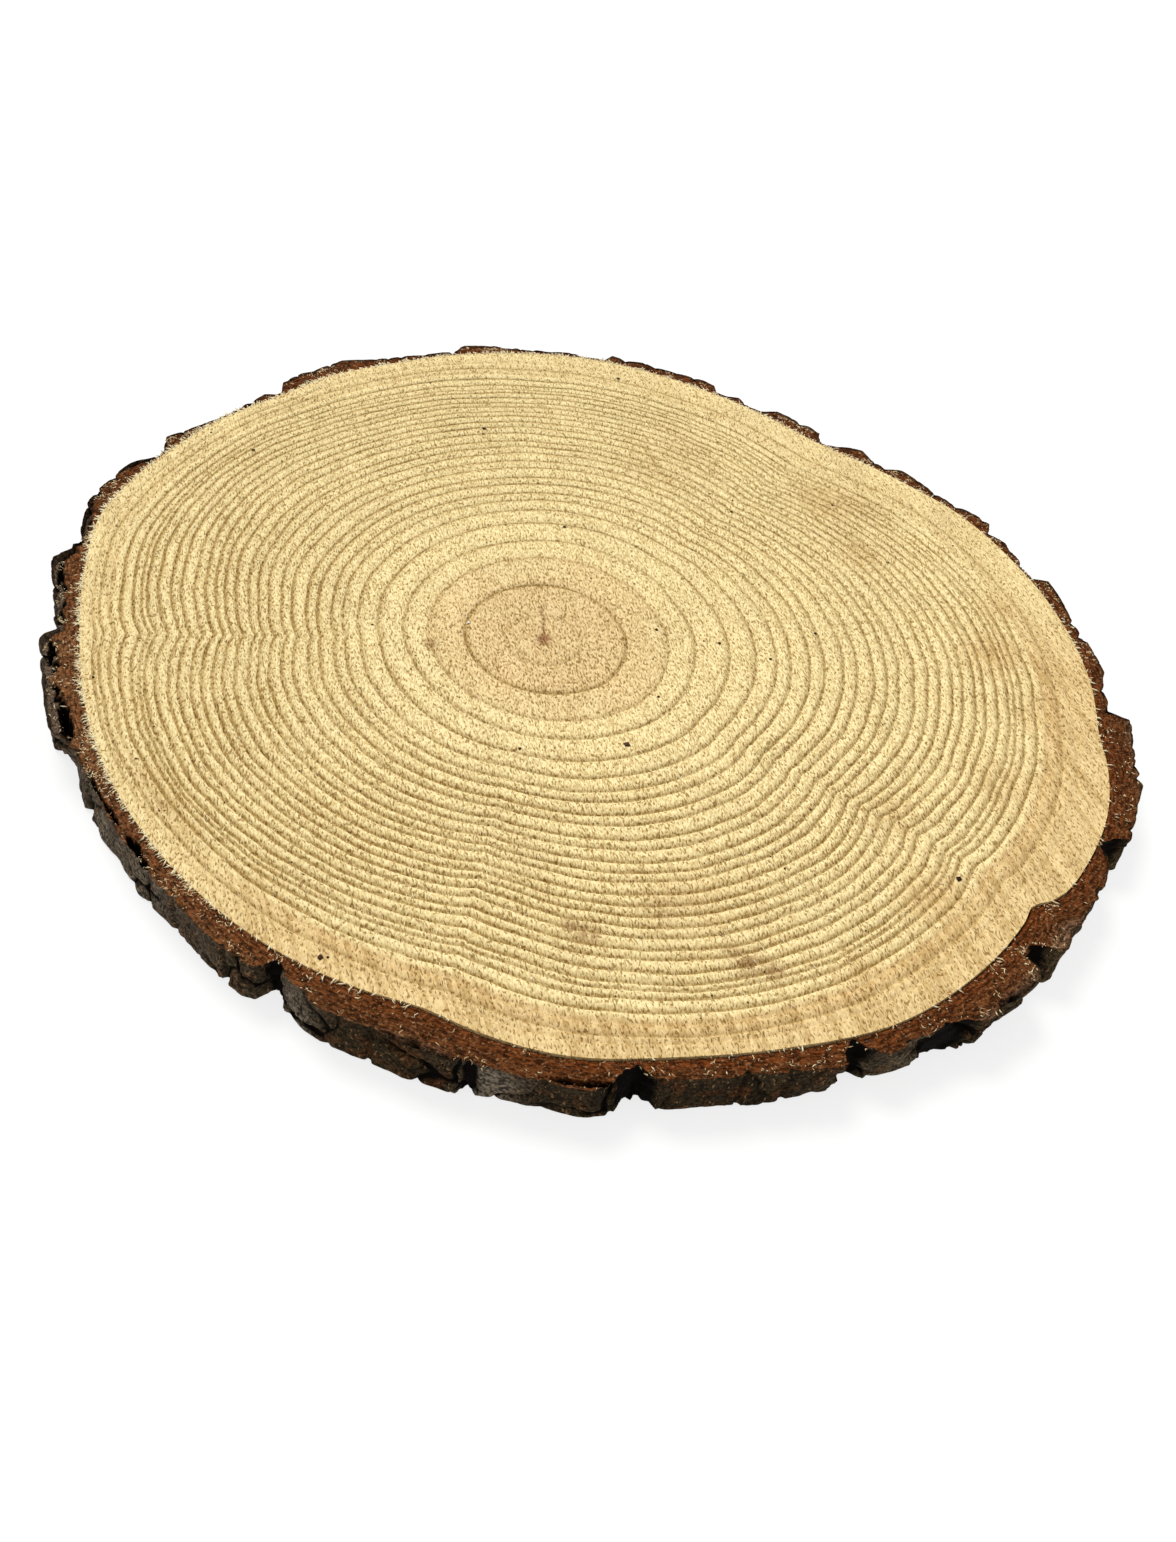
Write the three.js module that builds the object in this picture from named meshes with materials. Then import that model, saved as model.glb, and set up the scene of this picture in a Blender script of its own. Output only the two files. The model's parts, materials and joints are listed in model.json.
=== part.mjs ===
// A wood slice: a thin round of softwood, sawn straight across the stem, with its bark left on.
// Two pieces: the wood, from pith to cambium, and the ring of bark round it.
// Millimetres, +Z up. The lower sawn face lies on z = 0 and the origin is under the middle of the
// slice's outer box. Angles are in degrees round the pith, anticlockwise from +X, seen from above.

import * as THREE from "three";

// Driving dimensions.
const THICKNESS = 13; // from sawn face to sawn face
const CLEARANCE = 0.3; // between the wood and the bark, where the cambium was
const STEP = 2; // at most this many degrees between the points of an outline

// The wood's edge: angle, and distance from the pith. The stem grew faster towards 20 degrees, and
// it has flutes at 58, 135, 200 and 268 degrees and a sharp one at 332.
const WOOD_EDGE = [
  [0, 151.3],
  [8, 152.7],
  [20, 152.5],
  [30, 151],
  [38, 149.3],
  [45, 145.2],
  [50, 142.8],
  [58, 139.3],
  [65, 140.5],
  [75, 143],
  [85, 145.6],
  [93, 146.6],
  [100, 145.6],
  [110, 143.3],
  [120, 140],
  [127, 138.6],
  [135, 135],
  [145, 133.8],
  [155, 132],
  [165, 130.8],
  [171, 129.6],
  [180, 124.8],
  [190, 121],
  [197, 119.6],
  [210, 119.3],
  [222, 120.2],
  [235, 122],
  [250, 124.8],
  [260, 125.8],
  [266, 126.2],
  [272, 130],
  [280, 134],
  [290, 135.8],
  [300, 139.2],
  [311, 144],
  [322, 145.2],
  [330, 145],
  [332.3, 144.3],
  [334, 147.4],
  [336, 149.5],
  [340, 151.2],
  [348, 153.3],
  [355, 152.8],
];

// The bark's depth outside the wood: angle, depth at the upper face, and depth at the lower face
// where the wall leans. Each row of numbers is one plate or a few, and the furrow or the broken end
// between two plates is the jump from one row to the next.
const BARK_DEPTH = [
  ...[[2.6, 10.4], [3.4, 4.8], [6, 4], [8.4, 4.6]],
  ...[[9.5, 5.8], [13, 5], [18, 4.1], [24.2, 5.9]],
  ...[[25, 2], [26.5, 1.3], [29, 3.6], [31.5, 4], [33.6, 2.1]],
  ...[[35, 6], [37, 5.4], [40, 3.3], [44, 4.7], [48.2, 6.7]],
  ...[[49.2, 3.9], [51.5, 4], [53.5, 6.9], [54.8, 5.8], [56.3, 3], [58.4, 2.7]],
  ...[[59.4, 7.5], [62, 6], [66, 5.6], [67.6, 1.7], [69.2, 1.2]],
  ...[[71.4, 3.8], [73, 1.9], [74.4, 2]],
  ...[[75.2, 5.4], [77, 6.1], [80.5, 4.7], [85, 5.4], [87, 4.3], [89, 5], [89.9, 1]],
  ...[[91.5, 1], [93.2, 1.4], [94, 3.3], [97, 2.2], [99, 2.9]],
  ...[[102.5, 4.8], [108, 6], [110, 3.3], [114, 2.7], [120, 4.5]],
  ...[[124.4, 7.2], [127, 6.2], [129, 5.5], [132.3, 8], [133.6, 6], [134.9, 1.4], [135.6, 1.2]],
  ...[[137, 3.4], [141, 2.6], [145, 1.3], [148.5, 2.6], [152.7, 5.7], [155, 2.2], [156.3, 1.2]],
  ...[[157, 3.8], [160.5, 5.9], [168.5, 6.3], [171.5, 4.8], [175.8, 3.6]],
  ...[[177, 8.6], [180, 10], [184, 8.6], [188, 7.4], [192.3, 7]],
  ...[[193.5, 10.4, 12], [197, 10.2, 11.2], [204, 9.7], [207, 9.8, 9.4], [208, 9.9, 5.5]],
  ...[[212.6, 10.2, 6], [213.4, 5.9, 6.6], [217, 5.4, 6.6], [222, 5.2, 6.4]],
  ...[[226, 5.6, 5.2], [231, 5.9, 6.6], [236, 6.2, 5.8], [240, 6.4, 5.7], [245, 7.4, 7.7]],
  ...[[249.2, 8, 8.2], [250, 7.5, 4.7], [250.9, 5.4], [252.5, 5.2, 6.4], [255, 7.6, 8.2]],
  ...[[257, 9.2], [261, 9.4], [266, 11, 11.3], [269.6, 10], [271.6, 8.8], [273, 8.4, 7.7]],
  ...[[275.5, 8.4, 7], [278, 8, 6.7], [281.8, 9, 8], [283.6, 7.4], [285.4, 6.8, 5.6]],
  ...[[286.6, 4.2, 5], [288.4, 6.4, 6], [291.8, 6.3, 5.9], [294, 6.6, 5.6], [297.5, 6.6]],
  ...[[301, 7.2, 6], [304.4, 8.2, 5.6], [306, 4.6], [308.4, 7.3, 5], [311.6, 6.4, 5.6]],
  ...[[313.4, 8.4, 5.9], [318, 10.8, 9.3], [322.8, 12.2, 9.1], [325.2, 11.6, 10]],
  ...[[326.4, 9.8, 10.4], [328.4, 10.2, 10.6], [329.8, 12.4, 12], [333, 11.4]],
  ...[[336, 8.5], [340.6, 6], [342, 4.4], [344, 4.6], [346, 7.8], [350.6, 7.9]],
  ...[[353.4, 9.7], [356.6, 9]],
];

// The look of each piece: colour, and how rough its surface is.
const WOOD_LOOK = { color: 0xe3c592, roughness: 0.85, metalness: 0 };
const BARK_LOOK = { color: 0x59392a, roughness: 0.95, metalness: 0 };

// Entry i of a list that goes once round the pith and starts again: the row, and its angle with the
// turns added or taken away.
function entryAt(list, i) {
  const turns = Math.floor(i / list.length);
  const row = list[i - turns * list.length];
  return { row, angle: row[0] + turns * 360 };
}

// The last entry of a list whose angle isn't past the given one.
function lastBefore(list, angle) {
  let i = -1;
  while (entryAt(list, i + 1).angle <= angle) i += 1;
  return i;
}

// The distance from the pith to the wood's edge in any direction: a smooth curve through WOOD_EDGE.
function woodRadius(angle) {
  const i = lastBefore(WOOD_EDGE, angle);
  const [before, start, end, after] = [i - 1, i, i + 1, i + 2].map((k) => {
    const entry = entryAt(WOOD_EDGE, k);
    return { angle: entry.angle, radius: entry.row[1] };
  });
  const slope = (a, b) => (b.radius - a.radius) / (b.angle - a.angle);
  const span = end.angle - start.angle;
  const rise = end.radius - start.radius;
  const leave = span * slope(before, end);
  const arrive = span * slope(start, after);
  const t = (angle - start.angle) / span;
  return (
    start.radius +
    t * leave +
    t * t * (3 * rise - 2 * leave - arrive) +
    t * t * t * (leave + arrive - 2 * rise)
  );
}

// The bark's depth in any direction, at the upper and the lower face: straight between the entries
// of BARK_DEPTH, as bark breaks.
function barkDepth(angle) {
  const i = lastBefore(BARK_DEPTH, angle);
  const start = entryAt(BARK_DEPTH, i);
  const end = entryAt(BARK_DEPTH, i + 1);
  const t = (angle - start.angle) / (end.angle - start.angle);
  const between = (a, b) => a + (b - a) * t;
  const lower = (row) => row[2] ?? row[1];
  return {
    upper: between(start.row[1], end.row[1]),
    lower: between(lower(start.row), lower(end.row)),
  };
}

// A point at an angle, a distance from the pith and a height.
function point(angle, radius, z) {
  const turn = THREE.MathUtils.degToRad(angle);
  return new THREE.Vector3(radius * Math.cos(turn), radius * Math.sin(turn), z);
}

// The angles at which both outlines are worked out: every STEP degrees, and wherever a list of
// numbers has an entry, so that the bark fits the wood.
function workedAngles() {
  const even = Array.from({ length: 360 / STEP }, (_, i) => i * STEP);
  const listed = [...WOOD_EDGE, ...BARK_DEPTH].map(([angle]) => angle);
  return [...new Set([...even, ...listed])].sort((a, b) => a - b);
}

// A named piece of the slice.
function piece(name, geometry, look) {
  const mesh = new THREE.Mesh(geometry, new THREE.MeshStandardMaterial(look));
  mesh.name = name;
  return mesh;
}

// The wood: its outline, sawn square.
function makeWood() {
  const outline = workedAngles().map((angle) => point(angle, woodRadius(angle), 0));
  const shape = new THREE.Shape(outline.map((p) => new THREE.Vector2(p.x, p.y)));
  const geometry = new THREE.ExtrudeGeometry(shape, { depth: THICKNESS, bevelEnabled: false });
  return piece("wood", geometry, WOOD_LOOK);
}

// The bark's section in any direction: inner bottom, outer bottom, outer top and inner top corner.
function barkSection(angle) {
  const inner = woodRadius(angle) + CLEARANCE;
  const depth = barkDepth(angle);
  return [
    point(angle, inner, 0),
    point(angle, woodRadius(angle) + depth.lower, 0),
    point(angle, woodRadius(angle) + depth.upper, THICKNESS),
    point(angle, inner, THICKNESS),
  ];
}

// The bark: a closed ring, its sections joined all the way round.
function makeBark() {
  const angles = workedAngles();
  const corners = 4;
  const faces = [];
  for (let i = 0; i < angles.length; i += 1) {
    const here = corners * i;
    const next = corners * ((i + 1) % angles.length);
    for (let k = 0; k < corners; k += 1) {
      const l = (k + 1) % corners;
      faces.push(here + k, next + k, here + l);
      faces.push(next + k, next + l, here + l);
    }
  }
  const geometry = new THREE.BufferGeometry().setFromPoints(angles.flatMap(barkSection));
  geometry.setIndex(faces);
  geometry.computeVertexNormals();
  return piece("bark", geometry, BARK_LOOK);
}

// Both pieces, moved together so that the origin is under the middle of their box.
function makeSlice() {
  const round = new THREE.Group();
  round.add(makeWood(), makeBark());
  const middle = new THREE.Box3().setFromObject(round).getCenter(new THREE.Vector3());
  round.position.set(-middle.x, -middle.y, 0);
  const slice = new THREE.Group();
  slice.add(round);
  return slice;
}

const group = makeSlice();

export default group;
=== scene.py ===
"""A wood slice: the looks of a thin round of softwood with its bark left on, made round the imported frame.

Lengths inside the functions are in millimetres, and angles in degrees round the pith, anticlockwise from
+X as seen from above. mesh_object() turns them into metres in the frame's own axes.
"""

import itertools
import json
import math

import bpy
import numpy as np
from bpy.props import FloatProperty, FloatVectorProperty, IntProperty, PointerProperty
from mathutils import Matrix, Vector


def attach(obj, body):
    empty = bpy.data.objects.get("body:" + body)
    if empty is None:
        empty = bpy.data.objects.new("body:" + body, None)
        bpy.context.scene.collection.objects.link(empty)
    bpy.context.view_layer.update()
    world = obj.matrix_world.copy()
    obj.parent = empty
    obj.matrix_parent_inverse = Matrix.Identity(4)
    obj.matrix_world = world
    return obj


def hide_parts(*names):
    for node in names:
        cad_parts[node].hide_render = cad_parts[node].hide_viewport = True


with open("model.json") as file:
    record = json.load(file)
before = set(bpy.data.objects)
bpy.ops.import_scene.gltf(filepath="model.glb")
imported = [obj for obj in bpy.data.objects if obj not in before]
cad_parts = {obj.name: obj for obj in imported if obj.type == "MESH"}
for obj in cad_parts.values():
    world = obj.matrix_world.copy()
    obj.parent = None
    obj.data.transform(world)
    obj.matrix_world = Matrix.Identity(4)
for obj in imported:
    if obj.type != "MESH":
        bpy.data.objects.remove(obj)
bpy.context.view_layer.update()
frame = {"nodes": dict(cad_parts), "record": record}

bl_info = {
    "name": "Wood slice",
    "version": (1, 0, 0),
    "blender": (4, 5, 0),
    "location": "View3D > Sidebar > Wood slice",
    "description": "Makes a rough-sawn round of softwood with its bark, and a stage to show it on",
    "category": "Add Mesh",
}

MM = 0.001

# ---------------------------------------------------------------------------------------------------
# What the frame says
# ---------------------------------------------------------------------------------------------------


def mount_place(name):
    """A mount's point, in millimetres."""
    found = next(m for m in frame["record"]["mounts"] if m["name"] == name)
    return np.array(found["pos_m"]) / MM


PITH_X, PITH_Y, THICKNESS = mount_place("upper_face")


def node_outline(node, height, least):
    """The points of a CAD node at one height and further out than least(angle): angles and distances."""
    corners = np.array([v.co for v in frame["nodes"][node].data.vertices]) / MM
    level = corners[np.abs(corners[:, 2] - height) < 0.01]
    across, along = level[:, 0] - PITH_X, level[:, 1] - PITH_Y
    angle = np.degrees(np.arctan2(along, across)) % 360
    radius = np.hypot(across, along)
    kept = radius > least(angle)
    order = np.argsort(angle[kept])
    return angle[kept][order], radius[kept][order]


WOOD_OUTLINE = node_outline("wood", THICKNESS, lambda angle: 0)


def wood_edge(angle):
    """The distance from the pith to the wood's edge."""
    return np.interp(angle, *WOOD_OUTLINE, period=360)


def past_the_wood(angle):
    """A distance that only the bark's outer corners reach."""
    return wood_edge(angle) + 0.6


UPPER_OUTLINE = node_outline("bark", THICKNESS, past_the_wood)
LOWER_OUTLINE = node_outline("bark", 0, past_the_wood)


def bark_edge(angle, height):
    """The distance from the pith to the bark's outer wall, as the CAD model has it."""
    upper = np.interp(angle, *UPPER_OUTLINE, period=360)
    lower = np.interp(angle, *LOWER_OUTLINE, period=360)
    return lower + (upper - lower) * height / THICKNESS


# ---------------------------------------------------------------------------------------------------
# The growth rings
# ---------------------------------------------------------------------------------------------------

# A ring is named by its distance from the pith at this angle, its rank.
RANK_ANGLE = 225
# Out to this rank the rings are circles.
ROUND_RANK = 12
# The shapes of five rings: the distance from the pith at each angle. Their ranks are the row at 225.
RING_SHAPES = [
    (0, 42, 75.7, 110.8, 125.5, 140),
    (20, 42.8, 76.8, 112, 127, 140.7),
    (40, 43.1, 75.7, 107.5, 121.8, 136.5),
    (50, 44.5, 74.8, 103.8, 117, 131.3),
    (57, 44.7, 73.7, 102, 114.5, 128.4),
    (64, 44.8, 74.4, 103.7, 116.3, 130.1),
    (70, 45.1, 75.2, 105.4, 118.3, 132),
    (90, 45.7, 75.5, 107.7, 121, 135.4),
    (110, 44.2, 73.7, 106.5, 119.6, 134.4),
    (130, 42.6, 71.3, 103.3, 116.3, 129.7),
    (150, 40.8, 68.6, 101.5, 114.8, 126.1),
    (170, 39.4, 66.1, 95.4, 110.1, 122.8),
    (180, 38.7, 63.9, 91.1, 106.2, 119.3),
    (187, 38.4, 62.6, 88.4, 103.1, 116.7),
    (193, 38.1, 61.8, 87, 101.1, 115),
    (200, 37.5, 62.1, 88.4, 102.6, 114.6),
    (208, 37.2, 63.3, 90.3, 104, 114.6),
    (225, 37, 64, 92, 105, 115),
    (245, 37.4, 64.3, 91.8, 104.4, 117),
    (260, 37.8, 63.9, 90.8, 104.3, 119),
    (267, 38, 63.6, 89.9, 104.1, 120.2),
    (274, 38.5, 64.1, 91.5, 106.7, 123.4),
    (282, 38.7, 65.9, 95.3, 111.4, 127.4),
    (300, 39.8, 69.2, 102.1, 117.8, 132.7),
    (320, 41.2, 71.5, 104.6, 120.3, 134.9),
    (328, 41.6, 71.7, 103.4, 120.1, 135.1),
    (333, 41.7, 71.6, 102.3, 119.5, 135.2),
    (338, 41.8, 71.5, 103.9, 120.5, 136.4),
    (344, 41.8, 72.7, 106.6, 122, 137.9),
    (350, 41.8, 73.8, 108.6, 123.4, 139.1),
]
# Where the rings dip sharply in a flute of the stem: angle, and how far.
FLUTES = [(57.5, 0.8), (193.3, 1.5), (268, 0.9), (333.6, 1.5)]
# How many degrees each side of a flute the dip takes to fade to a third.
FLUTE_FADE = 1.6
# How far the rings waver to either side, and in what lengths.
WAVER, WAVER_LENGTH = 0.65, 11
# Where each year's growth ends in its dark line of latewood: the rank, and how strong the line is.
RING_ENDS = [
    (10.5, 0.4), (20.9, 0.95), (30.3, 0.55), (36.4, 0.75), (43.9, 0.9), (49.7, 0.85), (54.2, 0.8),
    (57.5, 0.9), (61.7, 1), (64.8, 0.9), (69, 1), (71.9, 0.9), (75.5, 1), (78.4, 1), (81, 0.9),
    (84.6, 1), (87.6, 1), (90.2, 1), (93, 1), (95.5, 0.9), (98.5, 1), (100.8, 1), (103.8, 1),
    (106.2, 0.95), (107.4, 0.85), (109, 0.95), (111.4, 1), (113.4, 0.8), (115.6, 0.9), (117.3, 0.8),
]  # fmt: skip
# The lines of these ranks show only round this angle, and so far to either side of it.
FINE_RANKS, FINE_ANGLE, FINE_HALF = (113.4, 117.3), 203, 24


def smooth_through(angles, values, at):
    """A smooth closed curve through values at the given angles, read at other angles."""
    angles, values = np.array(angles, float), np.array(values, float)
    count = len(angles)
    start = np.searchsorted(angles, at, side="right") - 1

    def entry(step):
        turns, index = np.divmod(start + step, count)
        return angles[index] + 360 * turns, values[index]

    (a0, v0), (a1, v1), (a2, v2), (a3, v3) = (entry(step) for step in (-1, 0, 1, 2))
    span = a2 - a1
    leave = span * (v2 - v0) / (a2 - a0)
    arrive = span * (v3 - v1) / (a3 - a1)
    t = (at - a1) / span
    rise = v2 - v1
    return v1 + t * leave + t**2 * (3 * rise - 2 * leave - arrive) + t**3 * (leave + arrive - 2 * rise)


def ring_radius(angle, rank):
    """The distance from the pith to the ring of each rank at each angle: an array of ranks by angles."""
    columns = list(zip(*RING_SHAPES))
    ranks = [0, ROUND_RANK]
    shapes = [np.zeros_like(angle), np.full_like(angle, ROUND_RANK)]
    for column in columns[1:]:
        ranks.append(column[columns[0].index(RANK_ANGLE)])
        shapes.append(smooth_through(columns[0], column, angle))
    ranks.append(float(wood_edge(RANK_ANGLE)))
    shapes.append(wood_edge(angle))
    shapes = np.array(shapes)
    low = np.clip(np.searchsorted(ranks, rank, side="right") - 1, 0, len(ranks) - 2)
    ranks = np.array(ranks)
    share = ((rank - ranks[low]) / (ranks[low + 1] - ranks[low]))[:, None]
    radius = shapes[low] * (1 - share) + shapes[low + 1] * share
    swing = np.clip(rank / 60 - 0.4, 0, 1) * np.clip((ranks[-1] - rank) / 6, 0, 1)
    wave = 2 * rough(polar(angle, radius, 0), WAVER_LENGTH, 91) - 1
    radius += swing[:, None] * WAVER * wave
    for at, dip in FLUTES:
        radius -= swing[:, None] * dip * np.exp(-np.abs(turn_between(angle, at)) / FLUTE_FADE)
    return radius


# ---------------------------------------------------------------------------------------------------
# Chance and roughness
# ---------------------------------------------------------------------------------------------------


def chance(*whole, seed):
    """A repeatable number from 0 to 1 for each set of whole numbers."""
    stirred = np.full(np.broadcast(*whole).shape, seed * 1013 + 7, np.uint32)
    for part in whole:
        stirred = (stirred ^ np.asarray(part).astype(np.uint32)) * np.uint32(0x9E3779B1)
        stirred = stirred ^ (stirred >> np.uint32(15))
    return (stirred >> np.uint32(8)) / 2.0**24


def drift(points, size, seed):
    """Smooth noise from 0 to 1, in lumps about size across."""
    scaled = points / size
    corner = np.floor(scaled).astype(np.int64)
    t = scaled - corner
    t = t * t * (3 - 2 * t)
    total = np.zeros(points.shape[:-1])
    for step in itertools.product((0, 1), repeat=3):
        weight = np.prod([t[..., i] if s else 1 - t[..., i] for i, s in enumerate(step)], axis=0)
        total += weight * chance(*(corner[..., i] + s for i, s in enumerate(step)), seed=seed)
    return total


def rough(points, size, seed, layers=3):
    """Noise from 0 to 1 with finer and finer layers."""
    shares = 0.5 ** np.arange(layers)
    parts = [s * drift(points, size * s, seed + i) for i, s in enumerate(shares)]
    return sum(parts) / shares.sum()


def scales(angle, height, wide, high, seed):
    """Cracked scales round the slice: the distance to the nearest crack, and a number for each scale."""
    count = round(BARK_GIRTH / wide)
    u, v = angle / 360 * count, height / high
    nearest = np.full(u.shape, np.inf)
    second = np.full(u.shape, np.inf)
    which = np.zeros(u.shape)
    for i, j in itertools.product((-1, 0, 1), repeat=2):
        column, row = np.floor(u).astype(int) + i, np.floor(v).astype(int) + j
        wrapped = column % count
        place_u = column + chance(wrapped, row, seed=seed)
        place_v = row + chance(wrapped, row, seed=seed + 1)
        distance = np.hypot((place_u - u) * wide, (place_v - v) * high)
        closer = distance < nearest
        second = np.where(closer, nearest, np.minimum(second, distance))
        which = np.where(closer, chance(wrapped, row, seed=seed + 2), which)
        nearest = np.where(closer, distance, nearest)
    return (second - nearest) / 2, which


def bump(distance, width):
    """1 at no distance, falling smoothly to nothing past the width."""
    return np.exp(-((distance / width) ** 2))


def turn_between(angle, other):
    """The way round from one angle to another, from -180 to 180."""
    return (angle - other + 180) % 360 - 180


# ---------------------------------------------------------------------------------------------------
# Meshes
# ---------------------------------------------------------------------------------------------------


def polar(angle, radius, height):
    """Points from angles, distances from the pith and heights."""
    turn = np.radians(angle)
    x, y, z = np.broadcast_arrays(PITH_X + radius * np.cos(turn), PITH_Y + radius * np.sin(turn), height)
    return np.stack([x, y, z], axis=-1)


def mesh_object(name, points, faces, material, attributes=None, corner_uv=None, sharp=None):
    """A mesh object from points in millimetres. Attributes are numbers or vectors for each point."""
    mesh = bpy.data.meshes.new(name)
    mesh.from_pydata((np.asarray(points) * MM).tolist(), [], faces)
    for key, values in (attributes or {}).items():
        values = np.asarray(values, np.float32)
        kind, slot = ("FLOAT", "value") if values.ndim == 1 else ("FLOAT_VECTOR", "vector")
        mesh.attributes.new(key, kind, "POINT").data.foreach_set(slot, values.ravel())
    if corner_uv is not None:
        mesh.uv_layers.new(name="OFBake").uv.foreach_set("vector", np.asarray(corner_uv, np.float32).ravel())
    mesh.materials.append(material)
    mesh.shade_smooth()
    if sharp:
        mesh.set_sharp_from_angle(angle=math.radians(sharp))
    mesh.validate()
    made = bpy.data.objects.new(name, mesh)
    bpy.context.scene.collection.objects.link(made)
    return made


def settle(piece, slot, *replaced):
    """A piece rides on the slice and stands for CAD nodes, which it hides. The slot is not used."""
    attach(piece, "root")
    if replaced:
        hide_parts(*replaced)


def copies(points, pattern):
    """Many shapes with the same pattern of faces, from points: shapes by corners by three."""
    corners = points.shape[1]
    firsts = range(0, len(points) * corners, corners)
    return points.reshape(-1, 3), [tuple(first + k for k in face) for first in firsts for face in pattern]


def strands(root, heading, reach, width, rise, bend):
    """Three-sided fibres from their roots, each pointing along an angle as seen from above."""
    turn = np.radians(heading)
    forward = np.stack([reach * np.cos(turn), reach * np.sin(turn), rise], axis=-1)
    left = np.stack([-np.sin(turn), np.cos(turn), 0 * turn], axis=-1)
    middle = root + forward / 2 + left * (bend * reach)[:, None]
    corners = []
    for around in np.radians((90, 210, 330)):
        corners.append((left * math.cos(around) + np.array((0, 0, math.sin(around)))) * width[:, None] / 2)
    points = [root + 0.7 * c for c in corners] + [middle + c for c in corners] + [root + forward]
    pattern = [(0, 2, 1), (0, 1, 4, 3), (1, 2, 5, 4), (2, 0, 3, 5), (3, 4, 6), (4, 5, 6), (5, 3, 6)]
    return copies(np.stack(points, axis=1), pattern)


def crumbs(place_at, size, flat, random):
    """Small uneven grains, each with six corners."""
    axes = np.array([(1, 0, 0), (-1, 0, 0), (0, 1, 0), (0, -1, 0), (0, 0, 1), (0, 0, -1)], float)
    turn = random.uniform(0, 2 * math.pi, len(size))
    shape = axes[None] * random.uniform(0.55, 1.2, (len(size), 6, 1))
    x = shape[..., 0] * np.cos(turn)[:, None] - shape[..., 1] * np.sin(turn)[:, None]
    y = shape[..., 0] * np.sin(turn)[:, None] + shape[..., 1] * np.cos(turn)[:, None]
    shape = np.stack([x, y, shape[..., 2] * flat], axis=-1)
    pattern = [(0, 2, 4), (2, 1, 4), (1, 3, 4), (3, 0, 4), (2, 0, 5), (1, 2, 5), (3, 1, 5), (0, 3, 5)]
    return copies(place_at[:, None] + shape * size[:, None, None] / 2, pattern)


# ---------------------------------------------------------------------------------------------------
# Material nodes
# ---------------------------------------------------------------------------------------------------


def add(tree, kind, inputs=None, **settings):
    """Adds a node. Each input takes a value, or a link from another node's output."""
    made = tree.nodes.new(kind)
    for key, value in settings.items():
        setattr(made, key, value)
    for key, value in (inputs or {}).items():
        if isinstance(value, bpy.types.NodeSocket):
            tree.links.new(value, made.inputs[key])
        else:
            made.inputs[key].default_value = value
    return made


def maths(tree, operation, *values):
    """One step of arithmetic."""
    return add(tree, "ShaderNodeMath", dict(enumerate(values)), operation=operation).outputs[0]


def reading(tree, name):
    """A number painted on the mesh."""
    return add(tree, "ShaderNodeAttribute", attribute_name=name).outputs["Fac"]


def place(tree):
    """Where a point of the surface is, in metres."""
    return add(tree, "ShaderNodeTexCoord").outputs["Object"]


def stretched(tree, vector, scale, turn=0.0):
    """A place turned round Z by so many degrees, then scaled along each axis."""
    turned = add(tree, "ShaderNodeVectorRotate", {"Vector": vector, "Angle": math.radians(turn)},
                 rotation_type="Z_AXIS").outputs[0]  # fmt: skip
    return add(tree, "ShaderNodeVectorMath", {0: turned, 1: scale}, operation="MULTIPLY").outputs[0]


def noise(tree, vector, size, detail=2.0, roughness=0.55):
    """Noise from 0 to 1, in lumps of that size in metres."""
    inputs = {"Vector": vector, "Scale": 1 / size, "Detail": detail, "Roughness": roughness}
    return add(tree, "ShaderNodeTexNoise", inputs).outputs["Fac"]


def between(tree, value, low, high, to_low=0.0, to_high=1.0):
    """A value's way from low to high, eased, as a number from to_low to to_high."""
    inputs = {"Value": value, "From Min": low, "From Max": high, "To Min": to_low, "To Max": to_high}
    return add(tree, "ShaderNodeMapRange", inputs, interpolation_type="SMOOTHSTEP").outputs[0]


def mixed(tree, share, a, b, blend="MIX"):
    """Two colours mixed by a share."""
    made = add(tree, "ShaderNodeMix", {0: share}, data_type="RGBA", blend_type=blend)
    for socket, value in ((made.inputs[6], a), (made.inputs[7], b)):
        if isinstance(value, bpy.types.NodeSocket):
            tree.links.new(value, socket)
        else:
            socket.default_value = (*value[:3], 1)
    return made.outputs[2]


def darker(tree, colour, share):
    """A colour multiplied by a number."""
    grey = add(tree, "ShaderNodeCombineColor", {0: share, 1: share, 2: share}).outputs[0]
    return mixed(tree, 1.0, colour, grey, "MULTIPLY")


def finish(name, roughness, specular):
    """A new material: its node tree, and its shader with constant gloss."""
    material = bpy.data.materials.new(name)
    material.use_nodes = True
    shader = material.node_tree.nodes["Principled BSDF"]
    shader.inputs["Roughness"].default_value = roughness
    shader.inputs["Specular IOR Level"].default_value = specular
    return material, material.node_tree, shader


def raised(tree, shader, height, distance, strength):
    """Gives the shader a bump from a height of 0 to 1."""
    inputs = {"Height": height, "Distance": distance, "Strength": strength}
    tree.links.new(add(tree, "ShaderNodeBump", inputs).outputs[0], shader.inputs["Normal"])


# ---------------------------------------------------------------------------------------------------
# Settings
# ---------------------------------------------------------------------------------------------------


def colour(name, description, default):
    """A colour that a user would change."""
    return FloatVectorProperty(name=name, description=description, default=default, subtype="COLOR",
                               min=0, max=1)  # fmt: skip


def length(name, description, default):
    """A length that a user would change, in metres."""
    return FloatProperty(name=name, description=description, default=default, unit="LENGTH",
                         min=0, precision=5)  # fmt: skip


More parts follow.
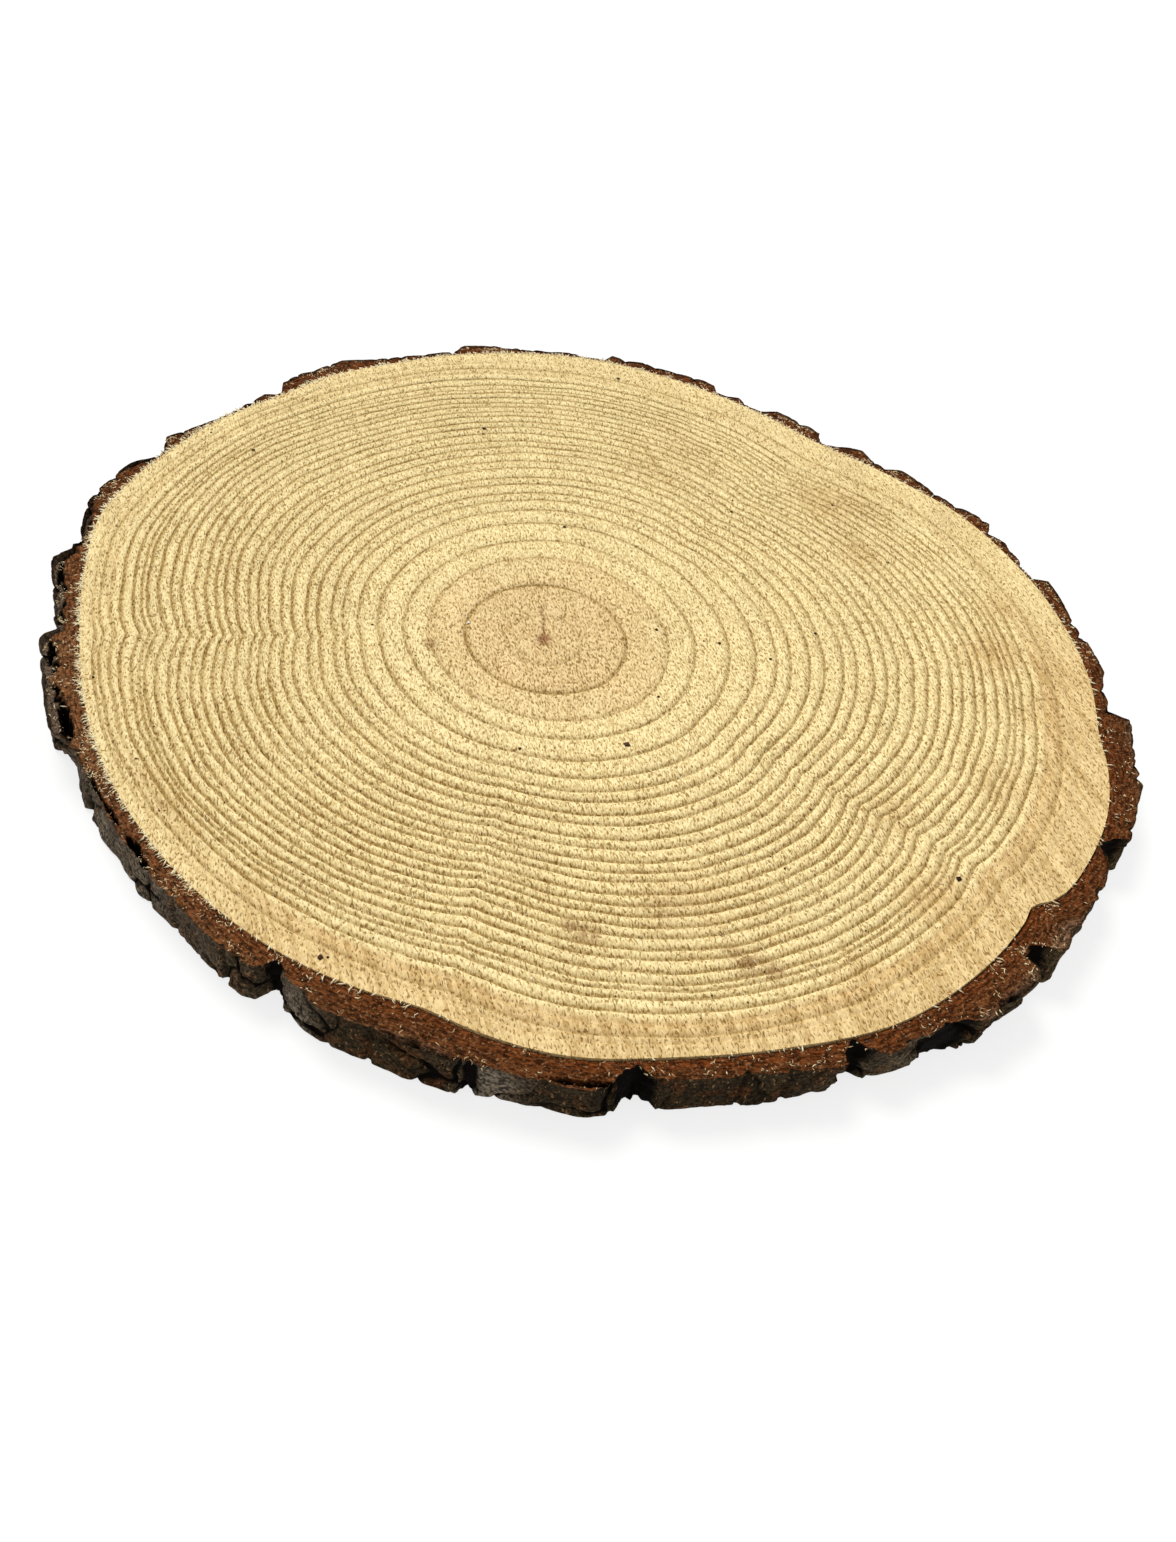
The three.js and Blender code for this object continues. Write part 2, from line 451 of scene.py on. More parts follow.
class WoodSettings(bpy.types.PropertyGroup):
    """The sawn wood."""

    pale: colour("Earlywood", "The pale, quick growth of spring", (0.975, 0.815, 0.44))
    dark: colour("Latewood", "The dark line that ends each year", (0.39, 0.245, 0.062))
    tan: colour("Tan", "The browner late years' growth", (0.77, 0.545, 0.255))
    stain: colour("Stains", "The dark stains", (0.31, 0.155, 0.05))
    core: colour("Core", "The first years' growth round the pith", (0.87, 0.665, 0.35))
    pith: colour("Pith", "The pith itself", (0.30, 0.12, 0.04))
    # Partly the grain's own darker fibres and partly painted shade: this colour darkens the hollows between
    # the torn fibres and the saw marks, where shade falls.
    shade: colour("Shade", "What the hollows between the torn fibres multiply the wood by",
                  (0.545, 0.445, 0.28))  # fmt: skip
    pore: colour("Pores", "What the small dark pores multiply the wood by", (0.38, 0.28, 0.14))
    groove: length("Groove", "How far the latewood lies below the earlywood", 0.45 * MM)
    grain: length("Grain", "The width of the torn fibres on the sawn face", 0.45 * MM)


class BarkSettings(bpy.types.PropertyGroup):
    """The bark."""

    inner: colour("Inner bark", "The sawn bark next to the wood", (0.106, 0.029, 0.0065))
    outer: colour("Outer bark", "The sawn bark towards the outside", (0.085, 0.0285, 0.0085))
    skin: colour("Weathered skin", "The outside of the plates", (0.031, 0.021, 0.010))
    # Painted shade: this near-black colour darkens the bottoms of the cracks, the hollows where plates have
    # come away, the slits in the sawn bark and the bark's side next to the wood, where shade falls.
    crack: colour("Cracks", "The bottom of the cracks and furrows", (0.004, 0.003, 0.002))
    weathered: colour("Weathered edge", "The old, chipped outside of the thickest plates, seen from above",
                      (0.105, 0.072, 0.047))  # fmt: skip
    fleck: colour("Flecks", "The paler corky flecks in the sawn bark", (0.31, 0.165, 0.075))
    # Partly a grey coat on some plates and partly painted light: the broad patch at the left paints the wall
    # paler where the sun falls on it.
    grey_film_and_painted_light: colour("Lichen", "The grey film on some plates", (0.165, 0.135, 0.10))
    scale_depth: length("Scale depth", "How far one scale of bark stands out from the next", 0.9 * MM)


class DustSettings(bpy.types.PropertyGroup):
    """What the saw left."""

    # Partly the torn fibres' own pale colour and partly painted highlight: it is made paler than the wood so
    # that the fibres and the sawdust look lit.
    fibre_and_highlight: colour("Fibres", "Torn wood fibres and sawdust", (0.98, 0.88, 0.58))
    shaded: colour("Browner fibres", "The browner ones of the fibres and the sawdust", (0.62, 0.40, 0.19))
    chip: colour("Chip", "The one pale chip on the wood", (0.98, 0.95, 0.86))
    grain: colour("Grains", "The small dark grains on the wood", (0.028, 0.013, 0.006))
    rim: IntProperty(name="Rim fibres", description="How many torn fibres stand out over the bark",
                     default=1600, min=1)  # fmt: skip
    loose: IntProperty(name="Loose fibres", description="How many fibres lie on the sawn face",
                       default=6000, min=1)  # fmt: skip
    flecks: IntProperty(name="Flecks", description="How many flecks of sawdust fall round the bark",
                        default=5200, min=1)  # fmt: skip
    crumbs: IntProperty(name="Crumbs", description="How many crumbs of bark lie on the sawn bark",
                        default=2600, min=1)  # fmt: skip
    specks: IntProperty(name="Specks", description="How many scattered small dark grains lie on the wood",
                        default=170, min=1)  # fmt: skip


class StageSettings(bpy.types.PropertyGroup):
    """The floor, the light and the camera."""

    floor: colour("Floor", "The plain pale floor", (0.24, 0.24, 0.24))
    sun: FloatProperty(name="Key light", description="Strength of the soft light from behind and the left",
                       default=2.2, min=0)  # fmt: skip
    sky: FloatProperty(name="Fill light", description="Strength of the even light from all round",
                       default=0.58, min=0)  # fmt: skip


# ---------------------------------------------------------------------------------------------------
# The wood
# ---------------------------------------------------------------------------------------------------

WOOD_POINTS_ROUND = 360
# The sawn face lies this far under the CAD face, so that loose fibres have room on it.
FIBRE_ROOM = 0.2
# The loops of the wood's rim, behind the bark, lie this far inside the two sawn faces.
RIM_DROP = 1
# The loops of the mesh that each dark line needs: how far before the year's end they are.
LINE_STEPS = (1.5, 1.0, 0.6, 0.25, 0)
# How far to each side of a dark line its groove reaches, and the height of the waves the saw left.
GROOVE_HALF, SAW_WAVES = 0.75, 0.16
# Dark stains on the upper face: angle, distance from the pith, size and strength.
STAINS = [
    (301.5, 116, 3.4, 1), (303.5, 120, 2.8, 0.9), (300.5, 112, 2.2, 0.7), (283.5, 101, 3, 1),
    (281.5, 99, 2, 0.9), (294.5, 95, 5, 0.45), (298, 93, 4, 0.35), (198, 30.5, 1.8, 0.9),
]  # fmt: skip
# Tan clouds on the upper face: angle, distance from the pith, size and strength.
CLOUDS = [
    (12, 127, 9, 1), (20, 137, 7, 0.8), (2, 136, 8, 0.7), (326, 126, 9, 0.9), (312, 131, 7, 0.8),
    (334, 105, 7, 0.5), (48, 119, 12, 0.6), (36, 108, 9, 0.5), (75, 96, 11, 0.4), (243, 116, 8, 0.6),
    (300, 96, 12, 0.35), (348, 128, 9, 0.6), (205, 110, 9, 0.25), (221, 112, 4, 0.6), (226, 112, 4, 0.8),
    (231, 113, 4, 0.7), (236, 115, 4, 0.5),
]  # fmt: skip
# The crack in the core runs out from the pith at this angle.
CRACK_ANGLE = 97
# The dark lines are at their boldest here, and palest across from here.
BOLD_ANGLE = 150
# The wood is browner inside the first of these ranks, and most of all well inside the second.
CORE_RANKS = (31.3, 24)
# The growth is tan from the first of these ranks outwards, a little less past the second, and most of all
# from one of these angles to the other.
TAN_RANKS, TAN_ANGLES = (112, 115.2), (250, 368)


def ring_steps(middle_step, line_steps):
    """Loops along the rings: rank, age in years, the line's strength, and the year's first and last rank."""
    rows = []
    ends = [(0, 0), *RING_ENDS, (float(wood_edge(RANK_ANGLE)), 0)]
    for year, ((start, _), (end, strength)) in enumerate(itertools.pairwise(ends)):
        width = end - start
        middle = max(width - line_steps[0], 0.3)
        steps = max(1, round(middle / middle_step))
        places = [middle * (k + 0.35) / steps for k in range(steps)]
        places += [width - left for left in line_steps if width - left > places[-1] + 0.1]
        rows += [(start + at, year + at / width, strength, start, end) for at in places]
    return np.array(rows).T


def sawn_face(angle, middle_step, line_steps, depth, seed):
    """One sawn face: distances, depths under the face and what is painted on it, loops by angles."""
    rank, age, strength, start, end = ring_steps(middle_step, line_steps)
    radius = ring_radius(angle, rank)
    width = ring_radius(angle, end) - ring_radius(angle, start)
    where = polar(angle, radius, seed * 40.0)
    phase = (age % 1)[:, None]
    left = np.where(phase == 0, 0, 1 - phase) * width
    from_line = np.minimum(left, phase * width * 2)
    bold = 1.02 + 0.07 * np.cos(np.radians(angle - BOLD_ANGLE))
    late = strength[:, None] * bold * (0.75 + 0.5 * drift(where, 11, seed))
    sunk = bump(from_line, GROOVE_HALF) * late * depth + SAW_WAVES * rough(where, 14, seed + 1)
    tan_start, tan_end = TAN_ANGLES
    off_middle = np.abs(turn_between(angle, (tan_start + tan_end) / 2)) - (tan_end - tan_start) / 2
    last = np.clip(rank - TAN_RANKS[1], 0, 1)
    tan = np.clip(rank - TAN_RANKS[0], 0, 1) * (1 - 0.2 * last)
    tan = tan[:, None] * (0.3 + 0.7 * bump(np.maximum(off_middle, 0), 9))
    here = bump(turn_between(angle, FINE_ANGLE), FINE_HALF)
    late = late * (1 - 0.5 * tan) * np.where(np.isin(end, FINE_RANKS)[:, None], here, 1)
    core = 0.6 * np.clip(CORE_RANKS[0] - rank, 0, 1) + 0.4 * np.clip((CORE_RANKS[1] - rank) / 4, 0, 1)
    return {
        "radius": radius,
        "sunk": sunk,
        "age": np.broadcast_to(age[:, None], radius.shape),
        "width": width,
        "late": late,
        "core": core[:, None] + 0 * radius,
        "tan": tan,
    }


def marks_at(marks, angle, radius):
    """How strongly a list of round marks covers each point."""
    here = polar(angle, radius, 0)
    total = np.zeros(radius.shape)
    for at, out, size, strength in marks:
        distance = np.linalg.norm(here - polar(at, out, 0), axis=-1)
        total = np.maximum(total, strength * bump(distance, size))
    return total


def wood_loops(settings):
    """All the loops of the wood, from the middle of the upper face round to the middle of the lower."""
    angle = np.arange(WOOD_POINTS_ROUND) * 360 / WOOD_POINTS_ROUND
    depth = settings.groove / MM
    upper = sawn_face(angle, 1.0, LINE_STEPS, depth, seed=1)
    lower = sawn_face(angle, 4, (1, 0), depth, seed=5)
    top = THICKNESS - FIBRE_ROOM
    rim_height = np.full((2, len(angle)), top - RIM_DROP)
    rim_height[1] = RIM_DROP
    rim = np.tile(wood_edge(angle), (2, 1))
    rows = {"radius": np.concatenate([upper["radius"], rim, lower["radius"][::-1]])}
    rows["height"] = np.concatenate([top - upper["sunk"], rim_height, lower["sunk"][::-1]])
    for key in ("age", "width", "late", "core", "tan"):
        edge = np.ones_like(rim) * (0 if key == "late" else upper[key][-1] - (key == "age") * 0.5)
        rows[key] = np.concatenate([upper[key], edge, lower[key][::-1]])
    above = rows["height"] > THICKNESS / 2
    rows["stain"] = marks_at(STAINS, angle, rows["radius"]) * above
    rows["tan"] = np.maximum(rows["tan"], marks_at(CLOUDS, angle, rows["radius"]) * above)
    swerve = 8 * (drift(polar(CRACK_ANGLE, rows["radius"], 0), 3, 95) - 0.5)
    off_crack = turn_between(angle, CRACK_ANGLE + swerve) * rows["radius"] / 57  # degrees in a radian
    fading = np.clip((19 - rows["radius"]) / 8, 0, 1) * above
    rows["crack"] = bump(off_crack, 0.5) * fading
    return angle, rows, len(upper["radius"])


def wood_faces(loops, count):
    """Quads between the loops and fans at both ends. Point 0 is the upper middle, the last the lower."""
    def point(i, j):
        return 1 + i * count + j % count

    last = 1 + loops * count
    faces = [(0, point(0, j), point(0, j + 1)) for j in range(count)]
    for i in range(loops - 1):
        faces += [(point(i, j), point(i + 1, j), point(i + 1, j + 1), point(i, j + 1)) for j in range(count)]
    faces += [(point(loops - 1, j), last, point(loops - 1, j + 1)) for j in range(count)]
    return faces


def wood_uv(angle, rows, upper_loops, faces):
    """Two discs for the baked colours: a large one for the upper face and the rim, a small one below."""
    large, small, rim_band, margin = 0.385, 0.18, 0.013, 0.002
    middle_above, middle_below = large + rim_band + margin, 1 - small - margin
    loops, count = rows["radius"].shape
    share = rows["radius"] / wood_edge(angle)
    turn = np.radians(angle)
    spokes = np.stack([np.cos(turn), np.sin(turn)], axis=-1)
    past = np.clip(np.arange(loops) - upper_loops + 1, 0, 3)[:, None]
    above = (large * share + rim_band * past / 3)[..., None] * spokes + middle_above
    below = (small * share)[..., None] * spokes * (-1, 1) + middle_below
    first, last = [[middle_above] * 2], [[middle_below] * 2]
    tables = [np.concatenate([first, disc.reshape(-1, 2), last]) for disc in (above, below)]
    first_below = 1 + (upper_loops + 1) * count
    uv = [tables[min(face) >= first_below][list(face)] for face in faces]
    return np.concatenate(uv)


def wood_material(settings):
    """Pale earlywood, dark latewood lines, a browner core, torn fibres, pores and stains."""
    material, tree, shader = finish("sawn_wood", roughness=0.85, specular=0.15)
    here = place(tree)
    sawn = stretched(tree, here, (1, 0.36, 1), turn=-18)
    fibres = noise(tree, sawn, settings.grain, 1, 0.5)
    pores = noise(tree, sawn, settings.grain * 0.95, 0, 0.5)
    marks = noise(tree, stretched(tree, here, (1, 0.04, 1), turn=-24), 1.1 * MM, 1)
    lumps = noise(tree, here, 1.6 * MM, 2, 0.6)
    patches = noise(tree, here, 15 * MM, 3)
    year = maths(tree, "FRACT", reading(tree, "age"))
    width = reading(tree, "width")
    left = maths(tree, "MULTIPLY", maths(tree, "SUBTRACT", 1.0, year), width)
    left = maths(tree, "ADD", left, maths(tree, "MULTIPLY_ADD", lumps, 0.6, -0.3))
    gone = maths(tree, "MULTIPLY", year, width)
    slow_start = maths(tree, "MINIMUM", maths(tree, "MULTIPLY", width, 0.72), 2.2)
    slow = between(tree, left, 0.5, slow_start, 0.5, 0)
    sharp = between(tree, left, 0.3, 1.0, 0.55, 0)
    after = between(tree, gone, 0.0, 0.35, 0.9, 0)
    line = maths(tree, "MAXIMUM", maths(tree, "ADD", slow, sharp), after)
    line = maths(tree, "MULTIPLY", line, reading(tree, "late"))
    line = maths(tree, "MULTIPLY", line, between(tree, fibres, 0.38, 0.6, 1.05, 0.8))
    core = maths(tree, "MULTIPLY", reading(tree, "core"), between(tree, patches, 0.2, 0.8, 0.7, 1.2))
    base = mixed(tree, core, settings.pale, settings.core)
    tan = maths(tree, "MULTIPLY", reading(tree, "tan"), between(tree, lumps, 0.3, 0.7, 0.65, 0.95))
    base = mixed(tree, tan, base, settings.tan)
    base = mixed(tree, maths(tree, "MINIMUM", maths(tree, "MULTIPLY", line, 0.84), 0.9), base, settings.dark)
    stain = maths(tree, "MULTIPLY", reading(tree, "stain"), between(tree, lumps, 0.34, 0.54, 0.1, 0.9))
    base = mixed(tree, stain, base, settings.stain)
    crack = maths(tree, "MULTIPLY", reading(tree, "crack"), between(tree, lumps, 0.3, 0.6, 0.4, 0.75))
    base = mixed(tree, crack, base, settings.pith)
    pith = between(tree, maths(tree, "MULTIPLY_ADD", lumps, 0.5, reading(tree, "age")), 0.33, 0.58, 0.8, 0)
    base = mixed(tree, pith, base, settings.pith)
    # Painted shade in the hollows between the torn fibres and along the saw marks, together with the grain's
    # own darker colour: less of it in the outer years and in the tan growth.
    deepest = between(tree, reading(tree, "age"), 15, 24, 0.58, 0.46)
    shade = maths(tree, "MULTIPLY", between(tree, fibres, 0.41, 0.56, deepest, 0),
                  maths(tree, "MULTIPLY_ADD", reading(tree, "tan"), -0.3, 1.0))  # fmt: skip
    sawing = maths(tree, "MULTIPLY_ADD", reading(tree, "tan"), 0.34, 0.14)
    shade = maths(tree, "ADD", shade, maths(tree, "MULTIPLY", between(tree, marks, 0.4, 0.6, 1, 0), sawing))
    base = mixed(tree, shade, base, settings.shade, "MULTIPLY")
    dotted = maths(tree, "MULTIPLY_ADD", reading(tree, "core"), 0.03, 0.36)
    pore = between(tree, maths(tree, "SUBTRACT", pores, dotted), -0.035, 0.02, 0.82, 0)
    base = mixed(tree, pore, base, settings.pore, "MULTIPLY")
    base = darker(tree, base, between(tree, patches, 0.2, 0.8, 0.96, 1.04))
    tree.links.new(base, shader.inputs["Base Color"])
    raised(tree, shader, maths(tree, "ADD", fibres, pores), 0.3 * MM, 0.5)
    return material


def make_wood(settings):
    """The disc of wood, with its rings cut in relief on both sawn faces."""
    angle, rows, upper_loops = wood_loops(settings)
    loops = len(rows["radius"])
    top = THICKNESS - FIBRE_ROOM
    middle_above, middle_below = polar(0, 0, top - 0.4)[None], polar(0, 0, 0.1)[None]
    ring = polar(angle, rows["radius"], rows["height"]).reshape(-1, 3)
    faces = wood_faces(loops, len(angle))
    painted = {}
    for key in ("age", "width", "late", "core", "tan", "stain", "crack"):
        painted[key] = np.concatenate([[0], rows[key].ravel(), [0]])
    uv = wood_uv(angle, rows, upper_loops, faces)
    piece = mesh_object("sawn_wood", np.concatenate([middle_above, ring, middle_below]), faces,
                        wood_material(settings), painted, uv, sharp=55)  # fmt: skip
    settle(piece, "wood", "wood")


# ---------------------------------------------------------------------------------------------------
# The bark
# ---------------------------------------------------------------------------------------------------

# About how far it is round the bark, and how many points its mesh has all the way round.
BARK_GIRTH, BARK_POINTS_ROUND = 911, 1800
# The baked colours of the bark lie in this many strips, each one a part of the way round.
BARK_STRIPS = 5
# How many steps the bark's section has: across its lower face, up its wall, across its upper face and
# down beside the wood.
LOWER_STEPS, WALL_STEPS, UPPER_STEPS, INNER_STEPS = 6, 20, 14, 2
# The width and height of a plate of bark and of a scale on it, and how far to each side their cracks
# reach.
PLATE_WIDE, PLATE_HIGH, PLATE_CRACK = 16, 24, 0.9
SCALE_WIDE, SCALE_HIGH, SCALE_CRACK = 10, 8, 0.35
# How far in from its cracks a plate is rounded off, and by how much.
PLATE_ROUND, ROUND_DEPTH = 3.2, 1.1
# How far to each side a split in the sawn bark reaches, and its depth.
SPLIT_HALF, SPLIT_DEPTH = 0.45, 2.5
# In the lists of places on the bark, what is measured along the ring is in degrees.
# Hollows in the outer wall, where a plate has come away: angle, half its width, middle height, half its
# height and depth.
HOLLOWS = [
    (285.6, 1.1, 8, 9, 3.2), (287.2, 0.7, 3, 6, 2), (305.6, 1.2, 6, 10, 3.4), (314.8, 2.2, 8, 9, 2.2),
    (327.2, 1.1, 7, 9, 4), (344.2, 1.1, 7, 9, 3.2), (251, 0.8, 6, 8, 2.6), (271.5, 0.6, 5, 7, 2),
    (237.5, 0.4, 6, 8, 1.0), (245.5, 0.4, 5, 7, 1.1), (295.4, 0.3, 6, 8, 0.9), (218, 0.7, 6, 8, 1.6),
    (262, 0.3, 5, 6, 0.9), (299.5, 0.3, 5, 7, 0.8), (320.5, 0.5, 5, 7, 1.2), (338, 0.7, 5, 7, 1.6),
    (30, 0.8, 6, 8, 0.8), (57.5, 0.7, 6, 8, 0.8), (100, 0.8, 6, 8, 0.8), (142, 1, 6, 8, 0.7),
    (15, 0.6, 5, 7, 1.0), (109, 0.6, 5, 7, 1.0), (167, 0.7, 6, 7, 1.2), (354.5, 0.6, 6, 7, 1.2),
]  # fmt: skip
# Slits in the sawn bark, behind plates that have split off: angle, distance from the wood's edge, half
# its length, half its width, and depth.
SLITS = [
    (207.2, 5.2, 1.9, 0.9, 8), (209, 4.6, 1.2, 0.7, 8), (281.2, 6.2, 1.9, 0.55, 6), (229.4, 3.4, 1.3, 0.8, 7),
    (231.8, 4.4, 1.0, 0.6, 6), (224, 3.6, 1.6, 0.4, 5), (250.6, 4.0, 0.5, 0.7, 6), (196.5, 7.2, 1.6, 0.45, 5),
    (181.5, 6.4, 2.2, 0.4, 5), (220, 3.9, 1.2, 0.35, 4),
]  # fmt: skip
# Plates whose outside is chipped below the sawn face and weathered: angle, half its width, and how far
# in that reaches.
RINDS = [
    (171.5, 3.4, 2.6), (184, 6, 3.4), (190.5, 3, 2.4), (197.5, 4, 4.2), (206, 5.5, 4), (158, 3, 1.6),
    (267, 3.5, 1.4), (322, 3, 1.6),
]  # fmt: skip
# Smooth slabs with few cracks: angle, half the width, and how far they smooth the wall.
SLABS = [(204, 4, 0.7), (217, 4, 0.85), (225, 4.5, 0.9), (240, 6, 0.8), (261, 5, 0.6), (278, 3, 0.6),
         (291, 4, 0.8), (300, 4, 0.8), (340, 3, 0.6)]  # fmt: skip
# Where the end of a plate is rounded off: angle, half the width of what is gone, and its depth.
ROUNDED = [
    (177.6, 1.5, 3.6), (192.9, 1.1, 2.2), (211.6, 1.4, 2.6), (157.2, 1.2, 1.6), (132.4, 1, 1.6),
    (102.8, 1, 1.2), (26, 1, 1), (49, 1, 1.2), (59.6, 1, 1.6), (249.6, 1, 1.2), (335, 1.5, 1.6),
]  # fmt: skip
# Where the outside of the plates is painted paler: a grey coat on some plates, and painted light on the wall
# at the left, where the sun falls: angle, half its width, and strength.
FILMS_AND_PAINTED_LIGHT = [(226, 16, 0.9), (254, 2.5, 1), (273.5, 2.5, 1), (195, 9, 0.8), (60, 30, 0.3), (120, 25, 0.4),
         (310, 5, 0.3)]  # fmt: skip
# The sawn bark is palest round this angle, and so far to either side of it.
DUSTY_ANGLE, DUSTY_HALF = 208, 36
# The dark line between the wood and the bark is open from one of these angles to the other.
OPEN_LINE = (268, 345)


def inner_gap(angle):
    """The gap between the wood and the bark: a dark line at the front, and closed elsewhere."""
    start, end = OPEN_LINE
    middle, half = (start + end) / 2, (end - start) / 2
    return 0.02 + 0.2 * bump(np.maximum(np.abs(turn_between(angle, middle)) - half, 0), 4)


def wall_inset(angle, height, settings):
    """How far the wall stands in from the CAD outline, how deep in a crack or hollow it is for the painted
    shade there, and its scale.
    """
    where = polar(angle, BARK_GIRTH / 2 / math.pi, height)
    sway = drift(where, 7, 12) - 0.5
    jag = rough(where, 2.2, 16, 2) - 0.5
    bent_angle = angle + 1.6 * sway + 0.8 * jag
    bent_height = height + 5 * (drift(where, 6, 13) - 0.5) + 2 * jag
    plate_gap, plate = scales(bent_angle, bent_height, PLATE_WIDE, PLATE_HIGH, seed=21)
    bent_angle = bent_angle + 0.5 * sway
    scale_gap, scale = scales(bent_angle, bent_height, SCALE_WIDE, SCALE_HIGH, seed=31)
    smooth = np.maximum.reduce([most * bump(turn_between(angle, at), half) for at, half, most in SLABS])
    plate_crack = np.clip(1 - plate_gap / PLATE_CRACK, 0, 1) ** 1.5 * (1 - smooth)
    scale_crack = np.clip(1 - scale_gap / SCALE_CRACK, 0, 1) * (1 - smooth)
    rounding = ROUND_DEPTH * np.clip(1 - plate_gap / PLATE_ROUND, 0, 1) ** 2 * (1 - smooth)
    depth = settings.scale_depth / MM
    plate, scale = plate + (0.35 - plate) * smooth, scale + (0.35 - scale) * smooth
    inset = depth * (0.8 * plate + 0.4 * scale + 1.2 * plate_crack + 0.3 * scale_crack + rounding)
    inset += 0.8 * rough(where, 4, 41) - 0.15 + 0.28 * (rough(where, 1.6, 45, 2) - 0.3)
    rims = np.maximum(bump(height - THICKNESS, 1.5), bump(height, 1.2))
    inset *= 1 - 0.45 * rims
    inset += 0.5 * np.clip(4 * drift(where, 1.8, 47) - 2.7, 0, 1) * rims
    inset += 0.9 * np.clip(1 - height / 1.3, 0, 1) ** 2 + 0.25 * np.clip(height - THICKNESS + 0.7, 0, 1) ** 2
    for at, half_width, deep in ROUNDED:
        inset += deep * bump(turn_between(angle, at), half_width)
    inset = np.maximum(inset, 0.02)
    hollow_shade = np.zeros(inset.shape)
    for at, half_width, middle, half_height, deep in HOLLOWS:
        ragged = 0.5 + 1.0 * rough(where, 1.7, 51, 2)
        off = np.hypot(turn_between(angle, at) / half_width, (height - middle) / half_height) * ragged
        here = np.clip(2.2 - 1.4 * off, 0, 1)
        inset += deep * here
        hollow_shade = np.maximum(hollow_shade, here * min(deep / 3, 1))
    # The cracks and the hollows get painted shade: the cracks less where the wall meets the sawn faces, the
    # hollows more the deeper they are.
    crack = np.clip(np.maximum(1.3 * plate_crack, 0.6 * scale_crack) * (1 - 0.4 * rims), 0, 1)
    return inset, np.maximum(crack, hollow_shade), (plate + scale) / 2


def slit_at(angle, off_wood):
    """How deep the slits in the sawn bark are at each point."""
    where = polar(angle, BARK_GIRTH / 2 / math.pi + off_wood, 0)
    ragged = 0.7 + 0.6 * drift(where, 1.3, 61)
    depth = np.zeros(np.broadcast(angle, off_wood).shape)
    for at, off, half_length, half_width, deep in SLITS:
        away = np.hypot(turn_between(angle, at) / half_length, (off_wood - off) / half_width) * ragged
        depth = np.maximum(depth, deep * np.clip(1.7 - 1.2 * away, 0, 1))
    return depth


def rind_at(angle, from_rim, off_wood):
    """How much of a plate's outside is chipped and weathered, and the split between it and the rest."""
    where = polar(angle, BARK_GIRTH / 2 / math.pi + from_rim, 0)
    reach = np.maximum.reduce([far * bump(turn_between(angle, at), half) for at, half, far in RINDS])
    reach = np.minimum(reach * (0.7 + 0.6 * drift(where, 3, 65)), off_wood - 1.5)
    weathered = np.clip((reach - from_rim) / 0.8 + 0.5, 0, 1) * np.clip(reach / 0.8, 0, 1)
    split = bump(from_rim - reach, SPLIT_HALF) * np.clip(reach - 1, 0, 1)
    return weathered, split * np.clip(3 * drift(where, 2.5, 67) - 0.8, 0, 1)


